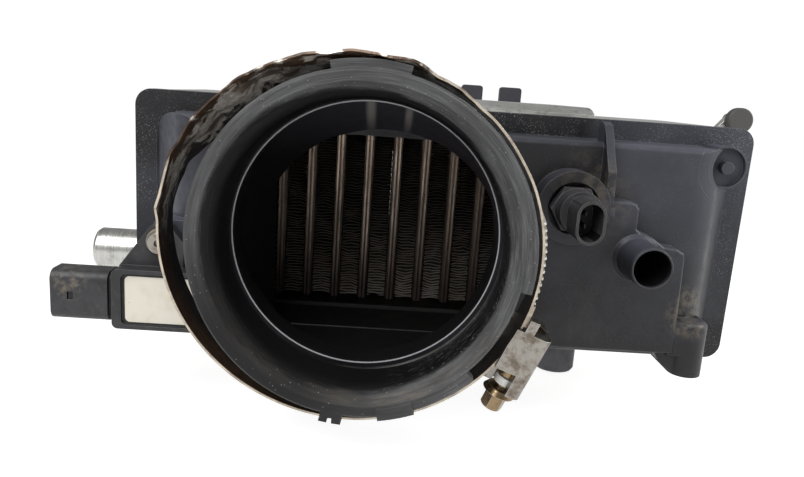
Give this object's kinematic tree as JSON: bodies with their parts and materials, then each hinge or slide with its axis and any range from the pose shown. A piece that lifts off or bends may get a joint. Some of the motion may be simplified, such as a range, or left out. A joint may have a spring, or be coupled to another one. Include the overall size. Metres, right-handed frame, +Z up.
{
  "type": "charge air cooler",
  "caption": "Liquid-cooled charge air cooler: moulded tank with a large round port, rubber cuff and loose hose clamp, two sensors, and a brazed core of flat tubes and folded fins",
  "frame": {"origin": "mouth of the threaded insert in the foot, on its axis", "axes": "+X to the right as seen from the charge port, along the tank; +Y from the charge port through the core; +Z up, so the insert opens down along -Z"},
  "size_m": [0.2906, 0.2243, 0.1361],
  "materials": {
    "tank_plastic": "black glass-filled moulding, dusty",
    "sensor_plastic": "black moulding, fine grain",
    "cuff_rubber": "dark grey rubber, dusty",
    "seal_rubber": "black seal",
    "clamp_steel": "satin stainless steel",
    "washer_plastic": "white plastic",
    "label_film": "cream film, bare",
    "brass_metal": "plain turned",
    "core_aluminium": "brazed and turned aluminium",
    "tube_aluminium": "brazed, brownish",
    "fin_aluminium": "dark brazed fins",
    "peg_plastic": "grey-black plastic"
  },
  "bodies": {
    "root": {"front_tank": "tank_plastic", "rear_tank": "tank_plastic", "foot_insert": "brass_metal", "charge_cuff": "cuff_rubber", "clamp_band": "clamp_steel", "clamp_housing": "clamp_steel", "clamp_screw": "clamp_steel", "clamp_washer": "washer_plastic", "pressure_sensor": "sensor_plastic", "pressure_label": "label_film", "pressure_bush": "brass_metal", "pressure_screw": "clamp_steel", "pressure_terminals": "brass_metal", "temperature_sensor": "sensor_plastic", "temperature_terminals": "brass_metal", "front_frame": "core_aluminium", "rear_frame": "core_aluminium", "tank_seals": "seal_rubber", "tube_plates": "core_aluminium", "top_cover": "core_aluminium", "core_shell": "core_aluminium", "coolant_inlet": "core_aluminium", "coolant_outlet": "core_aluminium", "corner_peg": "peg_plastic", "cooling_tube_01": "tube_aluminium", "cooling_tube_02": "tube_aluminium", "cooling_tube_03": "tube_aluminium", "cooling_tube_04": "tube_aluminium", "cooling_tube_05": "tube_aluminium", "cooling_tube_06": "tube_aluminium", "cooling_tube_07": "tube_aluminium", "cooling_tube_08": "tube_aluminium", "cooling_tube_09": "tube_aluminium", "cooling_tube_10": "tube_aluminium", "cooling_tube_11": "tube_aluminium", "cooling_tube_12": "tube_aluminium", "cooling_tube_13": "tube_aluminium", "cooling_tube_14": "tube_aluminium", "cooling_tube_15": "tube_aluminium", "cooling_tube_16": "tube_aluminium", "cooling_tube_17": "tube_aluminium", "cooling_tube_18": "tube_aluminium", "cooling_fin_01": "fin_aluminium", "cooling_fin_02": "fin_aluminium", "cooling_fin_03": "fin_aluminium", "cooling_fin_04": "fin_aluminium", "cooling_fin_05": "fin_aluminium", "cooling_fin_06": "fin_aluminium", "cooling_fin_07": "fin_aluminium", "cooling_fin_08": "fin_aluminium", "cooling_fin_09": "fin_aluminium", "cooling_fin_10": "fin_aluminium", "cooling_fin_11": "fin_aluminium", "cooling_fin_12": "fin_aluminium", "cooling_fin_13": "fin_aluminium", "cooling_fin_14": "fin_aluminium", "cooling_fin_15": "fin_aluminium", "cooling_fin_16": "fin_aluminium", "cooling_fin_17": "fin_aluminium"}
  },
  "joints": []
}
